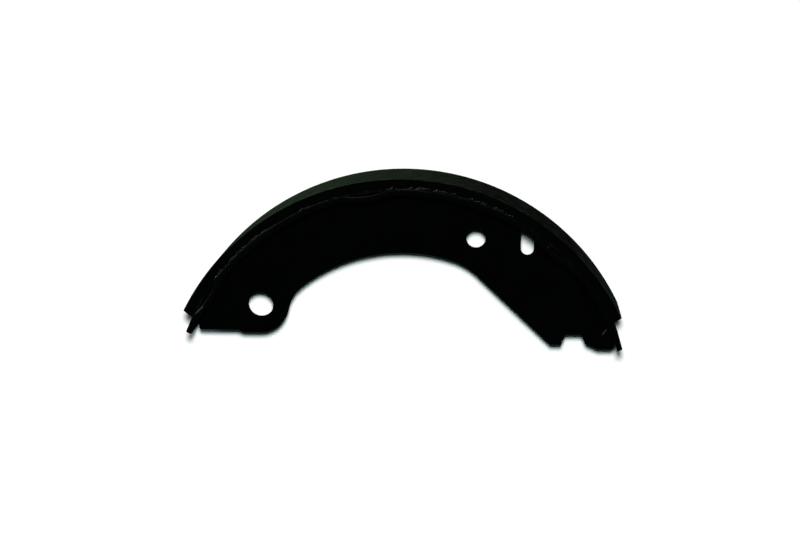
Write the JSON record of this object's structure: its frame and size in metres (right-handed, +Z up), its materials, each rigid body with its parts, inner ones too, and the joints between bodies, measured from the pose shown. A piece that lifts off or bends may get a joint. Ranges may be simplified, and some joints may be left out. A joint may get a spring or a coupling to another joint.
{
  "type": "brake shoe",
  "caption": "Black painted drum brake shoe: a stamped web with anchor hole, hold-down hole, lever slot and link notch, a rolled table with pressed nibs, and a bonded friction lining",
  "frame": {"origin": "centre of the outline seen from above, at the height of the table's side edge that the shoe lies on", "axes": "+Z up, parallel to the drum's axis; +X along the shoe from the heel with the anchor hole to the toe with the link notch; +Y outwards through the crown of the lining"},
  "size_m": [0.2067, 0.0838, 0.0416],
  "materials": {
    "black_paint": "thin black dip paint on pressed steel, satin",
    "friction_material": "ground friction compound, green-grey with fine light and dark grains, its sides painted over",
    "bonding_adhesive": "dark cured adhesive, glossy"
  },
  "bodies": {
    "root": {"web": "black_paint", "table": "black_paint", "weld_beads": "black_paint", "friction_lining": "friction_material", "adhesive": "bonding_adhesive"}
  },
  "joints": []
}
